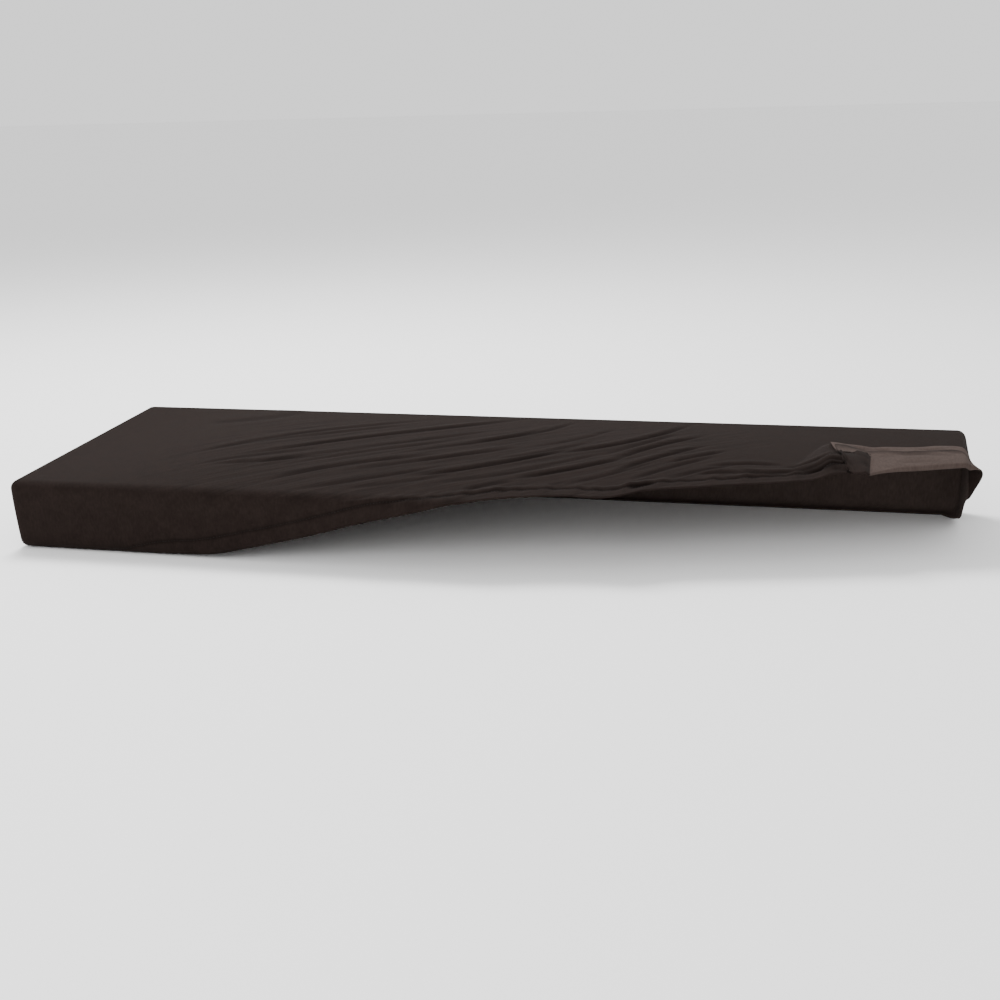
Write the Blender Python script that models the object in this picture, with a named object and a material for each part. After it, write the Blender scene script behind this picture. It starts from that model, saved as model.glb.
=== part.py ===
"""Keyboard dust cover: one piece of thin stretch cloth with an elastic hem.

It sits as a shallow upside-down tray over a long, low form that is lower in front than behind.
The left end is pulled right down and tucked under. The front hem climbs from there, crosses the
top, and at the right end the cloth is turned back on itself, so that its wrong side shows.

X runs along the length, Y from front to back and Z up. The origin is on the underside of the
top, at the middle of the length and the depth, where the cover rests on what it fits.
"""

import bpy
import numpy as np

# Sizes of the fitted form, in metres. Heights count up from its foot.
LENGTH = 1.066
DEPTH = 0.336
FRONT_HEIGHT = 0.0755
BACK_HEIGHT = 0.095
FULLER_RUN = 0.230
FOOT = -0.0045
EDGE_RADIUS = 0.010
TOP_SHARE = 0.9
THICKNESS = 0.0015
HEM_BAND = 0.020
FOOT_PULL = 0.004
LEFT_EASE = 0.007
LEFT_EASE_START = -0.430
LEFT_EASE_RUN = 0.100

# The bend where the cloth turns back, the least cloth kept between the top and the hem band, and
# how far the heaped cloth at the right end stands out.
TURN_RADIUS = 0.0028
TURN_RAMP = 0.008
MIN_SKIRT = 0.012
LUMP = 0.009

HALF_LENGTH = LENGTH / 2
HALF_DEPTH = DEPTH / 2
WALL = FRONT_HEIGHT - FOOT
FULL_REACH = DEPTH + WALL + HEM_BAND
TURN_LENGTH = np.pi * TURN_RADIUS


def table(names, rows):
    """A short table whose columns are read by name."""
    return np.array(rows, dtype=[(name, float) for name in names.split()])


# Where the cloth's foremost line runs: at each place x along the length, its distance from the
# back top edge, measured over the top and then down the front wall. In metres.
REACH = table("x reach", [
    (-0.533, FULL_REACH),
    (-0.430, FULL_REACH),
    (-0.350, 0.4185),
    (-0.302, 0.4137),
    (-0.252, 0.4026),
    (-0.166, 0.3817),
    (-0.107, 0.3649),
    (-0.066, 0.3550),
    (-0.020, 0.3430),
    (0.012, 0.3330),
    (0.048, 0.3207),
    (0.110, 0.3080),
    (0.166, 0.3046),
    (0.193, 0.2870),
    (0.253, 0.2680),
    (0.346, 0.2426),
    (0.405, 0.2225),
    (0.419, 0.2205),
    (0.429, 0.2104),
    (0.484, 0.1870),
    (0.533, 0.1690),
])

# The turned-back cloth: from its fold at x, how far it runs back and how far aside to its hem.
TURN = table("x back aside", [
    (0.404, 0.000, 0.000),
    (0.412, 0.091, -0.030),
    (0.419, 0.103, -0.030),
    (0.429, 0.098, -0.025),
    (0.445, 0.082, -0.020),
    (0.484, 0.069, -0.007),
    (0.509, 0.069, -0.003),
    (0.524, 0.060, 0.001),
    (0.533, 0.037, 0.000),
])

# The right end wall: how far the hem hangs below the top edge at each place y.
DROP = table("y drop", [
    (-0.001, 0.026),
    (0.040, 0.034),
    (0.070, 0.050),
    (0.110, 0.074),
    (0.140, WALL + 0.4 * HEM_BAND),
    (0.168, WALL + HEM_BAND),
])

# Behind FULL_WALL the right end wall hangs as the back does, and in front of CURL it curls up.
FULL_WALL_START = 0.080
FULL_WALL_RUN = 0.080
CURL_START = 0.050
CURL_RUN = 0.051

# The main tension folds of the top: each runs from one end to the other with a sideways bow,
# and is a trough of this depth and half width. In metres.
FOLD_ENDS = 0.25
FOLDS = table("x0 y0 x1 y1 bow depth half_width", [
    (-0.378, -0.075, -0.050, 0.150, -0.012, 0.0022, 0.015),
    (-0.320, -0.080, 0.030, 0.160, -0.010, 0.0034, 0.016),
    (-0.250, -0.145, -0.040, 0.022, -0.006, 0.0026, 0.015),
    (-0.190, -0.150, 0.070, 0.140, 0.010, 0.0030, 0.016),
    (-0.078, -0.108, 0.216, 0.150, 0.012, 0.0038, 0.017),
    (0.046, -0.104, 0.242, 0.100, 0.010, 0.0036, 0.016),
    (0.150, -0.080, 0.290, 0.060, 0.006, 0.0026, 0.015),
])

# The heaped cloth beside the turned-back part: a tent with a steep left face.
TENT_CREST = 0.381
TENT_HEIGHT = 0.010
TENT_LEFT_FRONT = 0.044
TENT_LEFT_BACK = 0.006
TENT_RIGHT = 0.050
TENT_FRONT_Y = -0.060
TENT_FRONT_RUN = 0.035
TENT_BACK_Y = 0.075
TENT_BACK_RUN = 0.045

# How finely the cloth is divided. As far as EVEN_ROWS_START the front wall's rows gather at its
# rounded edges, and past the run after it they are spread evenly.
TOP_ROWS = 22
WALL_ROWS = 6
BAND_ROWS = 2
BEND_ROWS = 3
SKIRT_ROWS = WALL_ROWS + BAND_ROWS
NEAR_EDGE = 0.4 * EDGE_RADIUS
EVEN_ROWS_START = -0.480
EVEN_ROWS_RUN = 0.080
PLAIN_SPACING = 0.031
PLAIN_END = 0.345
PLEAT_PLACES = (0.360, 0.371, 0.380, 0.390, 0.399, 0.405, 0.4075, 0.410, 0.412, 0.416, 0.421, 0.428)
FLAP_PLACES = (0.440, 0.455, 0.470, 0.486, 0.500, 0.513)

CLOTH_COLOR = (0.016, 0.012, 0.011, 1.0)
CLOTH_ROUGHNESS = 0.86


def ease(t):
    """Goes smoothly from 0 to 1 as t does, and stays there outside."""
    t = np.clip(t, 0.0, 1.0)
    return t * t * (3 - 2 * t)


def along(rows, column, at):
    """A smooth curve through one column of a table, read at a value of its first column."""
    places = rows[rows.dtype.names[0]]
    values = rows[column]
    slopes = np.gradient(values, places)
    i = np.clip(np.searchsorted(places, at) - 1, 0, len(places) - 2)
    step = places[i + 1] - places[i]
    t = np.clip((at - places[i]) / step, 0.0, 1.0)
    start = (1 + 2 * t) * (1 - t) ** 2 * values[i] + t * (1 - t) ** 2 * step * slopes[i]
    end = t * t * (3 - 2 * t) * values[i + 1] - t * t * (1 - t) * step * slopes[i + 1]
    return start + end


def top_height(x, y):
    """Height of the top: nearly a straight slope at the left end, fuller over the middle."""
    t = np.clip((y + HALF_DEPTH) / DEPTH, 0.0, 1.0)
    fuller = ease((x + HALF_LENGTH) / FULLER_RUN)
    share = (1 - fuller) * t + fuller * (1 - (1 - t) ** 3)
    return FRONT_HEIGHT + (BACK_HEIGHT - FRONT_HEIGHT) * share


def fold_depth(x, y):
    """Depth of the tension folds at a place on the top."""
    depth = np.zeros_like(x)
    for fold in FOLDS:
        run = np.array((fold["x1"] - fold["x0"], fold["y1"] - fold["y0"]))
        length = np.hypot(*run)
        run = run / length
        from_x = x - fold["x0"]
        from_y = y - fold["y0"]
        t = (from_x * run[0] + from_y * run[1]) / length
        aside = from_y * run[0] - from_x * run[1] - fold["bow"] * np.sin(np.pi * np.clip(t, 0, 1))
        ends = ease(t / FOLD_ENDS) * ease((1 - t) / FOLD_ENDS)
        depth += fold["depth"] * ends * ease(1 - np.abs(aside) / fold["half_width"])
    return depth


def tent_height(x, y):
    """Height of the heaped cloth: its left face is steeper towards the back."""
    back = np.clip((y - TENT_FRONT_Y) / (TENT_BACK_Y - TENT_FRONT_Y), 0.0, 1.0)
    left = TENT_LEFT_FRONT + (TENT_LEFT_BACK - TENT_LEFT_FRONT) * back
    rise = np.clip(1 - (TENT_CREST - x) / left, 0.0, 1.0)
    fall = ease(1 - (x - TENT_CREST) / TENT_RIGHT)
    across = np.where(x < TENT_CREST, rise, fall)
    lengthways = ease((y - TENT_FRONT_Y) / TENT_FRONT_RUN) * ease((TENT_BACK_Y - y) / TENT_BACK_RUN)
    return TENT_HEIGHT * across * lengthways


def fitted(x, y, z):
    """Moves points of the sharp-edged box onto the rounded, sloping and creased form."""
    x, y, z = np.broadcast_arrays(np.asarray(x, float), y, z)
    low = np.array((EDGE_RADIUS - HALF_LENGTH, EDGE_RADIUS - HALF_DEPTH, FOOT + EDGE_RADIUS))
    high = np.array((HALF_LENGTH - EDGE_RADIUS, HALF_DEPTH - EDGE_RADIUS, FRONT_HEIGHT - EDGE_RADIUS))
    sharp = np.stack((x, y, z), -1)
    inner = np.clip(sharp, low, high)
    away = sharp - inner
    distance = np.maximum(np.linalg.norm(away, axis=-1, keepdims=True), 1e-9)
    point = inner + away * (EDGE_RADIUS / distance)
    up = (point[..., 2] - FOOT) / WALL
    px, py = point[..., 0], point[..., 1]
    on_top = ease((up - TOP_SHARE) / (1 - TOP_SHARE))
    height = FOOT + (top_height(px, py) - FOOT) * up
    height = height + on_top * (tent_height(px, py) - fold_depth(px, py))
    pull = FOOT_PULL * (1 - up) ** 1.5
    clear = LEFT_EASE * ease((LEFT_EASE_START - px) / LEFT_EASE_RUN) * (HALF_DEPTH - py) / DEPTH
    out_x = px * (1 - pull / HALF_LENGTH) - clear
    return np.stack((out_x, py * (1 - pull / HALF_DEPTH), height), -1)


def over_front(x, s):
    """A point of the cloth at place x, at distance s from the back top edge, before it turns back."""
    under = np.clip(s - DEPTH - WALL, 0.0, HEM_BAND)
    y = HALF_DEPTH - np.minimum(s, DEPTH) + under
    z = FRONT_HEIGHT - np.clip(s - DEPTH, 0.0, WALL)
    return fitted(x * (1 - under / HALF_LENGTH), y, z)


def over_back(x, s):
    """A point of the back wall or its tucked-under hem, at distance s below the back top edge."""
    under = np.clip(s - WALL, 0.0, HEM_BAND)
    return fitted(x * (1 - under / HALF_LENGTH), HALF_DEPTH - under, FRONT_HEIGHT - np.minimum(s, WALL))


def turned_back(x, reach, extra, back, aside):
    """A point past the fold: round the bend first, then back over the top, leaning aside."""
    bend = np.clip(extra / TURN_RADIUS, 0.0, np.pi)
    run = np.maximum(extra - TURN_LENGTH, 0.0)
    full = max(np.hypot(back, aside), 1e-6)
    share = run / full
    y_fold = HALF_DEPTH - reach
    point = fitted(x + aside * share, y_fold + back * share, FRONT_HEIGHT)
    point[..., 1] -= TURN_RADIUS * np.sin(bend)
    point[..., 2] += TURN_RADIUS * (1 - np.cos(bend))
    return point


def wall_steps():
    """Row distances down a full wall and under it, closer where the edges round over."""
    down = (0.0, NEAR_EDGE, EDGE_RADIUS, WALL / 2, WALL - EDGE_RADIUS, WALL - NEAR_EDGE, WALL)
    return np.array(down + (WALL + HEM_BAND / BAND_ROWS, WALL + HEM_BAND))


def top_steps(end):
    """Row distances over the top, from the back edge to end, closer at both edges."""
    middle = np.linspace(EDGE_RADIUS, end - EDGE_RADIUS, TOP_ROWS - 3)
    return np.concatenate(((0.0, NEAR_EDGE), middle, (end - NEAR_EDGE, end)))


def column(x):
    """The cloth's points at place x, from the tucked hem behind to the hem in front."""
    reach = along(REACH, "reach", x)
    turned_from = TURN["x"][0]
    back = along(TURN, "back", x) if x > turned_from else 0.0
    aside = along(TURN, "aside", x) if x > turned_from else 0.0
    turned = ease((x - turned_from) / TURN_RAMP)
    total = reach + (TURN_LENGTH * turned + np.hypot(back, aside))
    top_end = min(DEPTH, reach - (1 - turned) * (HEM_BAND + MIN_SKIRT))
    band_start = total - HEM_BAND
    uneven = 1 - ease((x - EVEN_ROWS_START) / EVEN_ROWS_RUN)
    share = uneven * wall_steps()[:WALL_ROWS + 1] / WALL + (1 - uneven) * np.linspace(0, 1, WALL_ROWS + 1)
    skirt = top_end + (band_start - top_end) * share
    bend = reach + TURN_LENGTH * np.arange(BEND_ROWS) / BEND_ROWS
    run = reach + np.linspace(TURN_LENGTH, band_start - reach, WALL_ROWS - BEND_ROWS + 1)
    skirt = (1 - turned) * skirt + turned * np.concatenate((bend, run))
    front = np.concatenate((skirt, (total - HEM_BAND / BAND_ROWS, total)))
    rows = [over_back(x, s) for s in wall_steps()[::-1]]
    rows += [over_front(x, s) for s in top_steps(top_end)[1:]]
    for s in front[1:]:
        if s > reach + 1e-9:
            rows.append(turned_back(x, reach, s - reach, back, aside))
        else:
            rows.append(over_front(x, s))
    return np.array(rows)


def column_places():
    """Places along the length: close at the ends' rounded edges and where the cloth is heaped."""
    count = round((PLAIN_END + HALF_LENGTH - EDGE_RADIUS) / PLAIN_SPACING)
    plain = np.linspace(EDGE_RADIUS - HALF_LENGTH, PLAIN_END, count + 1)
    left = (-HALF_LENGTH, NEAR_EDGE - HALF_LENGTH)
    right = (HALF_LENGTH - EDGE_RADIUS, HALF_LENGTH - NEAR_EDGE, HALF_LENGTH)
    return np.concatenate((left, plain, PLEAT_PLACES, FLAP_PLACES, right))


def left_wall_point(y, step):
    """A point of the left end wall or its tucked-under hem."""
    under = np.clip(step - WALL, 0.0, HEM_BAND)
    return fitted(under - HALF_LENGTH, y * (1 - under / HALF_DEPTH), FRONT_HEIGHT - min(step, WALL))


def right_wall_point(y, row, turned_rows):
    """A point of the right end wall: it hangs at the back, and curls up into the turned-back cloth."""
    full = ease((y - FULL_WALL_START) / FULL_WALL_RUN)
    share = full * wall_steps() / (WALL + HEM_BAND) + (1 - full) * np.linspace(0, 1, SKIRT_ROWS + 1)
    step = along(DROP, "drop", y) * share[row]
    under = np.clip(step - WALL, 0.0, HEM_BAND)
    hang = fitted(HALF_LENGTH - under, y * (1 - under / HALF_DEPTH), FRONT_HEIGHT - min(step, WALL))
    curl = ease((CURL_START - y) / CURL_RUN)
    point = (1 - curl) * hang + curl * turned_rows[row]
    point[0] += LUMP * 4 * curl * (1 - curl) * np.sin(np.pi * row / SKIRT_ROWS)
    return point


def cloth_grid():
    """All points of the cloth's middle surface, and its triangles, facing outwards."""
    places = column_places()
    columns = np.array([column(x) for x in places])
    rows = columns.shape[1]
    points = list(columns.reshape(-1, 3))
    triangles = []

    def add_patch(index, flip, leaning=False):
        for i in range(len(index) - 1):
            for j in range(len(index[0]) - 1):
                a, b = index[i][j], index[i + 1][j]
                c, d = index[i + 1][j + 1], index[i][j + 1]
                pair = ((a, b, d), (b, c, d)) if leaning else ((a, b, c), (a, c, d))
                triangles.extend(t[::-1] if flip else t for t in pair)

    loft = np.arange(len(places) * rows).reshape(len(places), rows)
    add_patch(loft, flip=True, leaning=True)
    top_first = SKIRT_ROWS
    top_last = SKIRT_ROWS + TOP_ROWS
    for end, flip in ((0, True), (len(places) - 1, False)):
        edge = columns[end]
        index = [[loft[end][top_first - j] for j in range(SKIRT_ROWS + 1)]]
        for k in range(1, TOP_ROWS):
            line = [loft[end][top_first + k]]
            y = edge[top_first + k][1]
            for j in range(1, SKIRT_ROWS + 1):
                if end == 0:
                    point = left_wall_point(y, wall_steps()[j])
                else:
                    point = right_wall_point(y, j, edge[top_last:])
                line.append(len(points))
                points.append(point)
            index.append(line)
        index.append([loft[end][top_last + j] for j in range(SKIRT_ROWS + 1)])
        add_patch(index, flip)
    return np.array(points), triangles


def cloth_material():
    """Matt, very dark brown stretch cloth."""
    material = bpy.data.materials.new("stretch_cloth")
    material.use_nodes = True
    shader = material.node_tree.nodes["Principled BSDF"]
    shader.inputs["Base Color"].default_value = CLOTH_COLOR
    shader.inputs["Roughness"].default_value = CLOTH_ROUGHNESS
    shader.inputs["Metallic"].default_value = 0.0
    return material


def make_cover():
    """The one solid: the cloth's middle surface, thickened evenly to both sides."""
    points, triangles = cloth_grid()
    points[:, 2] -= top_height(0.0, 0.0) - THICKNESS / 2
    mesh = bpy.data.meshes.new("cover")
    mesh.from_pydata(points.tolist(), [], [[int(i) for i in t] for t in triangles])
    mesh.materials.append(cloth_material())
    mesh.shade_smooth()
    cover = bpy.data.objects.new("cover", mesh)
    bpy.context.scene.collection.objects.link(cover)
    thicken = cover.modifiers.new("Cloth thickness", "SOLIDIFY")
    thicken.thickness = THICKNESS
    thicken.offset = 0.0
    return cover


for old in list(bpy.data.objects):
    bpy.data.objects.remove(old)
make_cover()
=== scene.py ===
# %% [markdown]
# # A keyboard dust cover in stretch cloth
#
# The real object is one piece of thin, nearly black stretch cloth with a line of elastic in its hem.
# It sits over a long, low form. The left end is pulled right down, the front hem climbs and crosses
# the top, and at the right end the cloth is thrown back on itself so that its paler wrong side shows.
#
# The imported solid is loaded first. It fixes where everything is, and its box is kept at once and
# printed.

import math

import bpy
import numpy as np
from mathutils import Matrix, Vector


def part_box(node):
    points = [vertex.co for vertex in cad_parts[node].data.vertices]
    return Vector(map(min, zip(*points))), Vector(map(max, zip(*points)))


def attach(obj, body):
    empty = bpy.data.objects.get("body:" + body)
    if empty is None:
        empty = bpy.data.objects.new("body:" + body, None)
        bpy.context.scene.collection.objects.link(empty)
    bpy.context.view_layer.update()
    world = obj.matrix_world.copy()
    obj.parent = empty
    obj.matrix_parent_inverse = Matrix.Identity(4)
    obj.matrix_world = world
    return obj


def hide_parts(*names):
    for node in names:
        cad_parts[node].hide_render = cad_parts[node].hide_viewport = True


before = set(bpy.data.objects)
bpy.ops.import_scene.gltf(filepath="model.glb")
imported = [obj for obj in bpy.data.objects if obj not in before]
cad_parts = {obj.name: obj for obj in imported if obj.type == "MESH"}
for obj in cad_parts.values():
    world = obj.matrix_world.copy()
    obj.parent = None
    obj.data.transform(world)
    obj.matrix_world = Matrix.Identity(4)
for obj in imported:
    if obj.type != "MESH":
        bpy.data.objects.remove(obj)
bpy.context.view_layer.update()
cad_low, cad_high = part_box("cover")
print("The solid reaches from", [round(v, 4) for v in cad_low], "to", [round(v, 4) for v in cad_high])

# %% [markdown]
# ## Where the camera stands
#
# A picture's camera can be found from a few known lengths in it. Here it was solved from lengths that
# are known on what the cover fits. Three angles then turn it left, tilt it down and roll it a little.
# The origin of the part is on the underside of the top, so heights from the foot are lowered by RISE.

# %% Aim the camera
LENGTH = 1.066
DEPTH = 0.336
FRONT_HEIGHT = 0.0755
BACK_HEIGHT = 0.095
SOLID_THICKNESS = 0.0015
HALF_LENGTH = LENGTH / 2
HALF_DEPTH = DEPTH / 2
FULL_TOP_RUN = 0.230
FULL_TOP_POWER = 3
MILLIMETRES = 1000


def ease(t):
    """Goes smoothly from 0 to 1 as t does, and stays there outside."""
    t = np.clip(t, 0.0, 1.0)
    return t * t * (3 - 2 * t)


def top_height(x, y):
    """Height of the top over the foot: a straight slope at the left end, fuller over the middle."""
    t = np.clip((y + HALF_DEPTH) / DEPTH, 0.0, 1.0)
    fuller = ease((x + HALF_LENGTH) / FULL_TOP_RUN)
    share = (1 - fuller) * t + fuller * (1 - (1 - t) ** FULL_TOP_POWER)
    return FRONT_HEIGHT + (BACK_HEIGHT - FRONT_HEIGHT) * share


RISE = float(top_height(0.0, 0.0)) - SOLID_THICKNESS / 2

CAMERA_PLACE = Vector((0.4387, -1.5752, 0.4960 - RISE))
CAMERA_TURN = math.radians(15.365)
CAMERA_TILT = math.radians(15.876)
CAMERA_ROLL = math.radians(-1.716)
CAMERA_LENS_MM = 51.884
CAMERA_SENSOR_MM = 36.0
CAMERA_NEAR = 0.01


def aim_camera():
    """Sets up the scene's camera from its place and its three angles."""
    lens = bpy.data.cameras.new("camera")
    lens.lens = CAMERA_LENS_MM
    lens.sensor_width = CAMERA_SENSOR_MM
    lens.clip_start = CAMERA_NEAR
    camera = bpy.data.objects.new("camera", lens)
    bpy.context.scene.collection.objects.link(camera)
    forward = Vector((
        -math.sin(CAMERA_TURN) * math.cos(CAMERA_TILT),
        math.cos(CAMERA_TURN) * math.cos(CAMERA_TILT),
        -math.sin(CAMERA_TILT),
    ))
    level = Vector((math.cos(CAMERA_TURN), math.sin(CAMERA_TURN), 0.0))
    upward = level.cross(forward)
    right = level * math.cos(CAMERA_ROLL) + upward * math.sin(CAMERA_ROLL)
    up = upward * math.cos(CAMERA_ROLL) - level * math.sin(CAMERA_ROLL)
    turn = Matrix((right, up, -forward)).transposed()
    camera.matrix_world = Matrix.Translation(CAMERA_PLACE) @ turn.to_4x4()
    bpy.context.scene.camera = camera


aim_camera()
print("Camera at", [round(v, 3) for v in CAMERA_PLACE])

# %% [markdown]
# ## The cloth's outline, as sizes
#
# A cover like this is easiest to describe by walking over it from back to front. At each place along
# the length, the cloth starts at its hem behind, climbs the back wall, crosses the top and ends at some
# distance from the back top edge. That distance is its reach. Where it reaches past the front edge it
# hangs down the front wall, and where it is long enough it tucks under. Short tables hold the reach,
# the part that is thrown back, and the drop of the right end wall.

# %% Name the sizes of the cut
FOOT = -0.0045
EDGE_RADIUS = 0.010
HEM_BAND = 0.020
FOOT_PULL = 0.004
LEFT_EASE = 0.007
LEFT_EASE_START = -0.430
LEFT_EASE_RUN = 0.100
NARROW_BEND = 0.0009
WIDE_BEND = 0.0026
WIDE_BEND_START = 0.428
WIDE_BEND_RUN = 0.040
MIN_SKIRT = 0.012
LUMP = 0.009
CLOTH_THICKNESS = 0.0010

WALL = FRONT_HEIGHT - FOOT
FULL_REACH = DEPTH + WALL + HEM_BAND


def table(names, rows):
    """A short table whose columns are read by name."""
    return np.array(rows, dtype=[(name, float) for name in names.split()])


REACH = table("x reach", [
    (-0.533, FULL_REACH),
    (-0.430, FULL_REACH),
    (-0.350, 0.4185),
    (-0.302, 0.4137),
    (-0.252, 0.4026),
    (-0.166, 0.3817),
    (-0.107, 0.3649),
    (-0.066, 0.3550),
    (-0.020, 0.3430),
    (0.012, 0.3330),
    (0.048, 0.3207),
    (0.110, 0.3080),
    (0.166, 0.3046),
    (0.193, 0.2870),
    (0.253, 0.2680),
    (0.346, 0.2426),
    (0.405, 0.2225),
    (0.419, 0.2205),
    (0.429, 0.2104),
    (0.484, 0.1870),
    (0.533, 0.1690),
])

TURN = table("x back aside", [
    (0.404, 0.000, 0.000),
    (0.412, 0.091, -0.030),
    (0.419, 0.103, -0.030),
    (0.429, 0.098, -0.025),
    (0.445, 0.082, -0.020),
    (0.484, 0.069, -0.007),
    (0.509, 0.069, -0.003),
    (0.524, 0.060, 0.001),
    (0.533, 0.037, 0.000),
])
TURN_START = TURN["x"][0]
TURN_RAMP = 0.008

DROP = table("y drop", [
    (-0.001, 0.026),
    (0.015, 0.033),
    (0.040, 0.040),
    (0.070, 0.050),
    (0.110, 0.074),
    (0.140, WALL + 0.4 * HEM_BAND),
    (0.168, WALL + HEM_BAND),
])


def along(rows, column, x):
    """A smooth curve through one column of a table, read at x."""
    places = rows[rows.dtype.names[0]]
    values = rows[column]
    slopes = np.gradient(values, places)
    i = np.clip(np.searchsorted(places, x) - 1, 0, len(places) - 2)
    step = places[i + 1] - places[i]
    t = np.clip((x - places[i]) / step, 0.0, 1.0)
    start = (1 + 2 * t) * (1 - t) ** 2 * values[i] + t * (1 - t) ** 2 * step * slopes[i]
    end = t * t * (3 - 2 * t) * values[i + 1] - t * t * (1 - t) * step * slopes[i + 1]
    return start + end


print("The hem is tucked under as far as x =", REACH["x"][1], "and turns back from x =", TURN_START)

# %% [markdown]
# ## From a sharp box to a rounded, sloping form
#
# A point on a sharp-edged box is pulled towards a smaller box inside it and then pushed out again by
# the edge radius. Flat faces stay flat, and edges and corners come out round with no bevel to manage.
# The same function then slopes the top, draws the foot in and lifts the heaped cloth into its tent.

# %% Shape the fitted form
TENT_CREST = 0.381
TENT_HEIGHT = 0.010
TENT_LEFT_FRONT = 0.044
TENT_LEFT_BACK = 0.006
TENT_RIGHT = 0.050
TENT_FRONT_Y = -0.060
TENT_BACK_Y = 0.075
TENT_FRONT_RUN = 0.035
TENT_BACK_RUN = 0.045
TENT_FADE_START = 0.9
TENT_FADE_RUN = 0.1
FOOT_PULL_POWER = 1.5
TINY = 1e-9


def tent_height(x, y):
    """Height of the heaped cloth: its left face is steeper towards the back."""
    back = np.clip((y - TENT_FRONT_Y) / (TENT_BACK_Y - TENT_FRONT_Y), 0.0, 1.0)
    left = TENT_LEFT_FRONT + (TENT_LEFT_BACK - TENT_LEFT_FRONT) * back
    rise = np.clip(1 - (TENT_CREST - x) / left, 0.0, 1.0)
    fall = ease(1 - (x - TENT_CREST) / TENT_RIGHT)
    across = np.where(x < TENT_CREST, rise, fall)
    from_front = ease((y - TENT_FRONT_Y) / TENT_FRONT_RUN)
    from_back = ease((TENT_BACK_Y - y) / TENT_BACK_RUN)
    return TENT_HEIGHT * across * (from_front * from_back)


def fitted(x, y, z):
    """Moves points of the sharp-edged box onto the rounded, sloping form."""
    x, y, z = np.broadcast_arrays(np.asarray(x, float), y, z)
    low = np.array((EDGE_RADIUS - HALF_LENGTH, EDGE_RADIUS - HALF_DEPTH, FOOT + EDGE_RADIUS))
    high = np.array((HALF_LENGTH - EDGE_RADIUS, HALF_DEPTH - EDGE_RADIUS, FRONT_HEIGHT - EDGE_RADIUS))
    sharp = np.stack((x, y, z), -1)
    inner = np.clip(sharp, low, high)
    away = sharp - inner
    distance = np.maximum(np.linalg.norm(away, axis=-1, keepdims=True), TINY)
    point = inner + away * (EDGE_RADIUS / distance)
    up = (point[..., 2] - FOOT) / WALL
    px, py = point[..., 0], point[..., 1]
    height = FOOT + (top_height(px, py) - FOOT) * up
    height = height + ease((up - TENT_FADE_START) / TENT_FADE_RUN) * tent_height(px, py)
    pull = FOOT_PULL * (1 - up) ** FOOT_PULL_POWER
    clear = LEFT_EASE * ease((LEFT_EASE_START - px) / LEFT_EASE_RUN) * (HALF_DEPTH - py) / DEPTH
    out_x = px * (1 - pull / HALF_LENGTH) - clear
    return np.stack((out_x, py * (1 - pull / HALF_DEPTH), height), -1)


def bend_radius(x):
    """Radius of the bend where the cloth turns back: it lies nearly flat beside the heaped cloth."""
    return NARROW_BEND + (WIDE_BEND - NARROW_BEND) * ease((x - WIDE_BEND_START) / WIDE_BEND_RUN)


def laid(x, s, reach, back, aside):
    """The cloth at x and distance s: below zero is the back wall, past the reach is turned back."""
    radius = bend_radius(x)
    behind = np.clip(-s, 0.0, None)
    tucked = np.clip(behind - WALL, 0.0, HEM_BAND) + np.clip(s - DEPTH - WALL, 0.0, HEM_BAND)
    ahead = np.clip(s, 0.0, reach)
    side = np.where(s < 0, -1.0, 1.0)
    y = HALF_DEPTH - np.minimum(ahead, DEPTH) + side * tucked
    z = FRONT_HEIGHT - np.minimum(behind, WALL) - np.clip(ahead - DEPTH, 0.0, WALL)
    extra = np.clip(s - reach, 0.0, None) * (reach < DEPTH)
    bend = np.clip(extra / radius, 0.0, math.pi)
    past_bend = np.clip(extra - math.pi * radius, 0.0, None)
    share = past_bend / np.maximum(np.hypot(back, aside), TINY)
    point = fitted(x * (1 - tucked / HALF_LENGTH) + aside * share, y + back * share, z)
    point[..., 1] -= radius * np.sin(bend)
    point[..., 2] += radius * (1 - np.cos(bend))
    return point


print("Top height at the middle:", round(float(top_height(0.0, 0.0)), 4))

# %% [markdown]
# ## A regular mesh for an irregular cloth
#
# The cloth is one grid. Its columns are places along the length and its rows are distances from the
# back. Rows slide so that they always follow the hem: the last ones keep the width of the hem band, and
# the ones before share out what is left of the skirt. Columns stand closer where the cloth is creased.
# The two end walls are grids of their own that share their borders with the first and last columns.

# %% Lay out rows and columns
BACK_ROWS = 14
BAND_ROWS = 5
BEND_ROWS = 7
TOP_ROWS = 98
EDGE_SHARES = (0.0, 0.2, 0.42, 0.68, 1.0)
WALL_ROWS_END = -0.480
WALL_ROWS_FADE = 0.080
PLACES = table("start end spacing", [
    (EDGE_RADIUS - HALF_LENGTH, -0.400, 0.0090),
    (-0.400, 0.300, 0.0030),
    (0.300, 0.345, 0.0050),
    (0.345, 0.403, 0.0026),
    (0.403, 0.420, 0.0008),
    (0.420, 0.450, 0.0026),
    (0.450, HALF_LENGTH - EDGE_RADIUS, 0.0050),
])
END_ROWS = BACK_ROWS + BAND_ROWS


def edge_steps():
    """Distances from a sharp edge to where its rounding ends."""
    return EDGE_RADIUS * np.array(EDGE_SHARES)


def column_places():
    """All places along the length, left to right."""
    runs = []
    for run in PLACES:
        count = max(1, round((run["end"] - run["start"]) / run["spacing"]))
        runs.append(np.linspace(run["start"], run["end"], count + 1)[1:])
    rounding = edge_steps()
    left = rounding - HALF_LENGTH
    right = HALF_LENGTH - rounding[::-1]
    return np.concatenate((left, *runs, right[1:]))


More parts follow.
